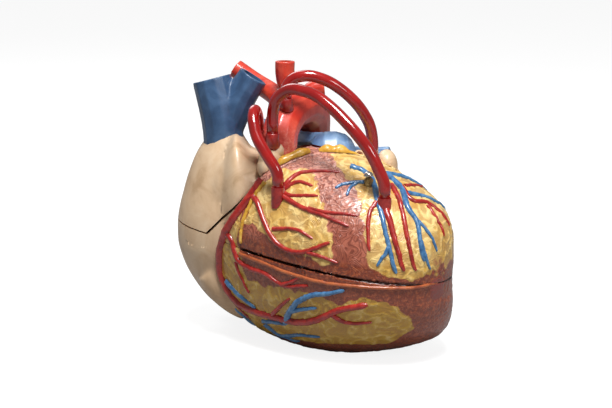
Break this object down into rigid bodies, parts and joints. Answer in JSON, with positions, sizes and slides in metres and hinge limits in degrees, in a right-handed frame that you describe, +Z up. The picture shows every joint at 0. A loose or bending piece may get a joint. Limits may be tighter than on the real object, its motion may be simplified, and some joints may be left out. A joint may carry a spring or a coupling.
{
  "type": "human heart anatomy model",
  "caption": "Take-apart teaching model of a human heart with bypass grafts: lift-off front wall over the chambers, lift-off atrium cap, great vessels and soft tubes",
  "frame": {"origin": "on the flat foot under the ventricles, at the level of the table", "axes": "+X to the heart's left side, -Y to the front, where the heart is viewed from, +Z up"},
  "size_m": [0.1919, 0.1897, 0.1961],
  "materials": {
    "muscle": "painted, satin varnish",
    "wall_muscle": "painted, satin varnish",
    "atrium": "painted, satin varnish",
    "cava_blue": "painted, satin varnish",
    "aorta_red": "painted, satin varnish",
    "lung_blue": "painted, satin varnish",
    "artery_red": "painted, glossy varnish",
    "vein_blue": "painted, glossy varnish",
    "fat": "painted, satin varnish",
    "valve": "painted, satin",
    "cord": "satin",
    "graft": "glossy soft tube",
    "nipple": "glossy",
    "pin_steel": "polished",
    "pin_brass": "satin",
    "steel": "plain",
    "dowel": "plain"
  },
  "bodies": {
    "base": {"aorta": "aorta_red", "aortic_graft_bosses": "nipple", "aortic_valve": "valve", "atrium_magnets": "steel", "base_magnets": "steel", "base_veins": "vein_blue", "fat_ridges": "fat", "inferior_vena_cava": "cava_blue", "left_atrium": "atrium", "left_auricle": "atrium", "left_papillary_muscles": "muscle", "mitral_valve": "valve", "moderator_band": "muscle", "pulmonary_trunk": "lung_blue", "pulmonary_valve": "valve", "pulmonary_veins": "aorta_red", "rear_arteries": "artery_red", "rear_graft_nipple": "nipple", "rear_veins": "vein_blue", "right_atrium_base": "atrium", "right_auricle": "atrium", "right_coronary_artery": "artery_red", "right_papillary_muscles": "muscle", "seam_dowels": "dowel", "tendinous_cords": "cord", "tricuspid_valve": "valve", "ventricle_base": "muscle"},
    "front_wall": {"front_wall": "wall_muscle", "front_arteries": "artery_red", "front_veins": "vein_blue", "front_graft_nipples": "nipple", "front_wall_magnets": "steel", "pin_ferrule": "pin_brass"},
    "atrium_cap": {"right_atrium_cap": "atrium", "superior_vena_cava": "cava_blue", "cap_magnets": "steel"},
    "retaining_pin": {"pin_stem": "pin_brass", "pin_head": "pin_steel"},
    "graft_right": {"graft_right": "graft"},
    "graft_front": {"graft_front": "graft"},
    "graft_rear": {"graft_rear": "graft"}
  },
  "joints": [
    {"name": "front_wall_lift", "type": "slide", "parent": "base", "child": "front_wall", "axis": [0, 0, 1], "range_m": [0, 0.12]},
    {"name": "atrium_cap_lift", "type": "slide", "parent": "base", "child": "atrium_cap", "axis": [-0.7071, 0, 0.7071], "range_m": [0, 0.1]},
    {"name": "retaining_pin_pull", "type": "slide", "parent": "front_wall", "child": "retaining_pin", "axis": [0, 0, 1], "range_m": [0, 0.03]},
    {"name": "graft_right_pull", "type": "slide", "parent": "front_wall", "child": "graft_right", "axis": [0, 0, 1], "range_m": [0, 0.06]},
    {"name": "graft_front_pull", "type": "slide", "parent": "front_wall", "child": "graft_front", "axis": [0, 0, 1], "range_m": [0, 0.06]},
    {"name": "graft_rear_pull", "type": "slide", "parent": "base", "child": "graft_rear", "axis": [0, 0, 1], "range_m": [0, 0.06]}
  ]
}
